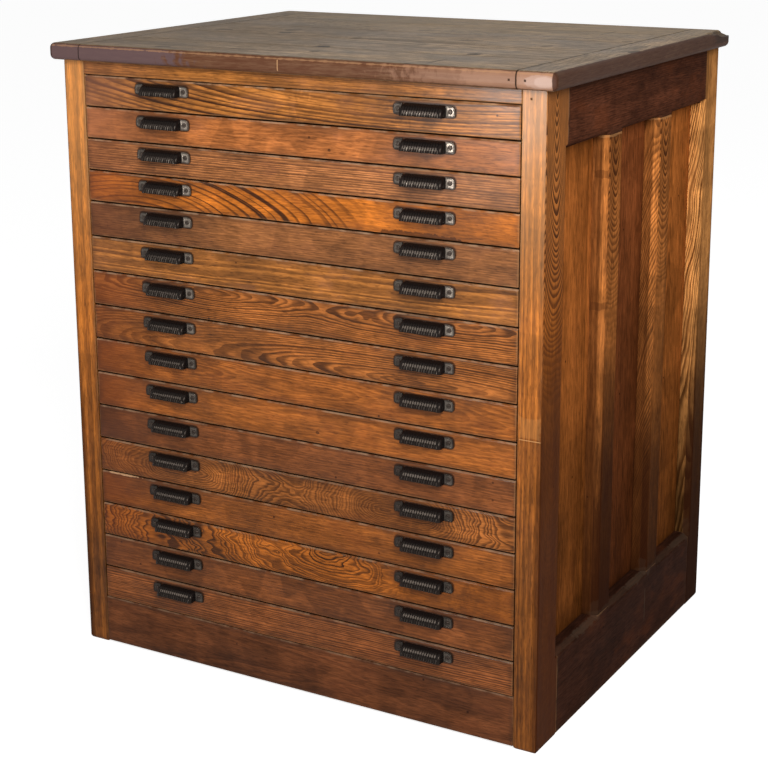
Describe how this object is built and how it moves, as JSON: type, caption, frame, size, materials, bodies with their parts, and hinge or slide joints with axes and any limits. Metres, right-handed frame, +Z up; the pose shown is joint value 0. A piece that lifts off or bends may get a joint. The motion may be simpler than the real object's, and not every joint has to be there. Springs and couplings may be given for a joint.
{
  "type": "wooden flat-file cabinet",
  "caption": "Wooden flat-file cabinet with panelled sides, an overhanging top and a stack of shallow drawers on wooden runners, each opened by two cast-iron cup pulls.",
  "frame": {"origin": "on the floor, in the middle of the outline", "axes": "+Z up, -Y out of the drawer fronts, +X to the right seen from the front"},
  "size_m": [0.955, 0.758, 1.105],
  "materials": {
    "front_wood": "satin",
    "post_wood": "satin",
    "side_wood": "satin",
    "top_wood": "worn satin",
    "inner_wood": "matt",
    "iron": "satin"
  },
  "bodies": {
    "carcass": {"corner_posts": "post_wood", "side_top_rails": "side_wood", "side_bottom_rails": "side_wood", "side_muntins": "side_wood", "side_panels": "side_wood", "front_top_rail": "post_wood", "plinth": "side_wood", "back_rails": "inner_wood", "back_boards": "inner_wood", "top_boards": "top_wood", "breadboard_ends": "top_wood", "drawer_runners": "inner_wood"},
    "drawer_01": {"drawer_01_front": "front_wood", "drawer_01_tray": "inner_wood", "drawer_01_pulls": "iron"},
    "drawer_02": {"drawer_02_front": "front_wood", "drawer_02_tray": "inner_wood", "drawer_02_pulls": "iron"},
    "drawer_03": {"drawer_03_front": "front_wood", "drawer_03_tray": "inner_wood", "drawer_03_pulls": "iron"},
    "drawer_04": {"drawer_04_front": "front_wood", "drawer_04_tray": "inner_wood", "drawer_04_pulls": "iron"},
    "drawer_05": {"drawer_05_front": "front_wood", "drawer_05_tray": "inner_wood", "drawer_05_pulls": "iron"},
    "drawer_06": {"drawer_06_front": "front_wood", "drawer_06_tray": "inner_wood", "drawer_06_pulls": "iron"},
    "drawer_07": {"drawer_07_front": "front_wood", "drawer_07_tray": "inner_wood", "drawer_07_pulls": "iron"},
    "drawer_08": {"drawer_08_front": "front_wood", "drawer_08_tray": "inner_wood", "drawer_08_pulls": "iron"},
    "drawer_09": {"drawer_09_front": "front_wood", "drawer_09_tray": "inner_wood", "drawer_09_pulls": "iron"},
    "drawer_10": {"drawer_10_front": "front_wood", "drawer_10_tray": "inner_wood", "drawer_10_pulls": "iron"},
    "drawer_11": {"drawer_11_front": "front_wood", "drawer_11_tray": "inner_wood", "drawer_11_pulls": "iron"},
    "drawer_12": {"drawer_12_front": "front_wood", "drawer_12_tray": "inner_wood", "drawer_12_pulls": "iron"},
    "drawer_13": {"drawer_13_front": "front_wood", "drawer_13_tray": "inner_wood", "drawer_13_pulls": "iron"},
    "drawer_14": {"drawer_14_front": "front_wood", "drawer_14_tray": "inner_wood", "drawer_14_pulls": "iron"},
    "drawer_15": {"drawer_15_front": "front_wood", "drawer_15_tray": "inner_wood", "drawer_15_pulls": "iron"},
    "drawer_16": {"drawer_16_front": "front_wood", "drawer_16_tray": "inner_wood", "drawer_16_pulls": "iron"}
  },
  "joints": [
    {"name": "drawer_01_slide", "type": "slide", "parent": "carcass", "child": "drawer_01", "axis": [0, -1, 0], "range_m": [0, 0.5]},
    {"name": "drawer_02_slide", "type": "slide", "parent": "carcass", "child": "drawer_02", "axis": [0, -1, 0], "range_m": [0, 0.5]},
    {"name": "drawer_03_slide", "type": "slide", "parent": "carcass", "child": "drawer_03", "axis": [0, -1, 0], "range_m": [0, 0.5]},
    {"name": "drawer_04_slide", "type": "slide", "parent": "carcass", "child": "drawer_04", "axis": [0, -1, 0], "range_m": [0, 0.5]},
    {"name": "drawer_05_slide", "type": "slide", "parent": "carcass", "child": "drawer_05", "axis": [0, -1, 0], "range_m": [0, 0.5]},
    {"name": "drawer_06_slide", "type": "slide", "parent": "carcass", "child": "drawer_06", "axis": [0, -1, 0], "range_m": [0, 0.5]},
    {"name": "drawer_07_slide", "type": "slide", "parent": "carcass", "child": "drawer_07", "axis": [0, -1, 0], "range_m": [0, 0.5]},
    {"name": "drawer_08_slide", "type": "slide", "parent": "carcass", "child": "drawer_08", "axis": [0, -1, 0], "range_m": [0, 0.5]},
    {"name": "drawer_09_slide", "type": "slide", "parent": "carcass", "child": "drawer_09", "axis": [0, -1, 0], "range_m": [0, 0.5]},
    {"name": "drawer_10_slide", "type": "slide", "parent": "carcass", "child": "drawer_10", "axis": [0, -1, 0], "range_m": [0, 0.5]},
    {"name": "drawer_11_slide", "type": "slide", "parent": "carcass", "child": "drawer_11", "axis": [0, -1, 0], "range_m": [0, 0.5]},
    {"name": "drawer_12_slide", "type": "slide", "parent": "carcass", "child": "drawer_12", "axis": [0, -1, 0], "range_m": [0, 0.5]},
    {"name": "drawer_13_slide", "type": "slide", "parent": "carcass", "child": "drawer_13", "axis": [0, -1, 0], "range_m": [0, 0.5]},
    {"name": "drawer_14_slide", "type": "slide", "parent": "carcass", "child": "drawer_14", "axis": [0, -1, 0], "range_m": [0, 0.5]},
    {"name": "drawer_15_slide", "type": "slide", "parent": "carcass", "child": "drawer_15", "axis": [0, -1, 0], "range_m": [0, 0.5]},
    {"name": "drawer_16_slide", "type": "slide", "parent": "carcass", "child": "drawer_16", "axis": [0, -1, 0], "range_m": [0, 0.5]}
  ]
}
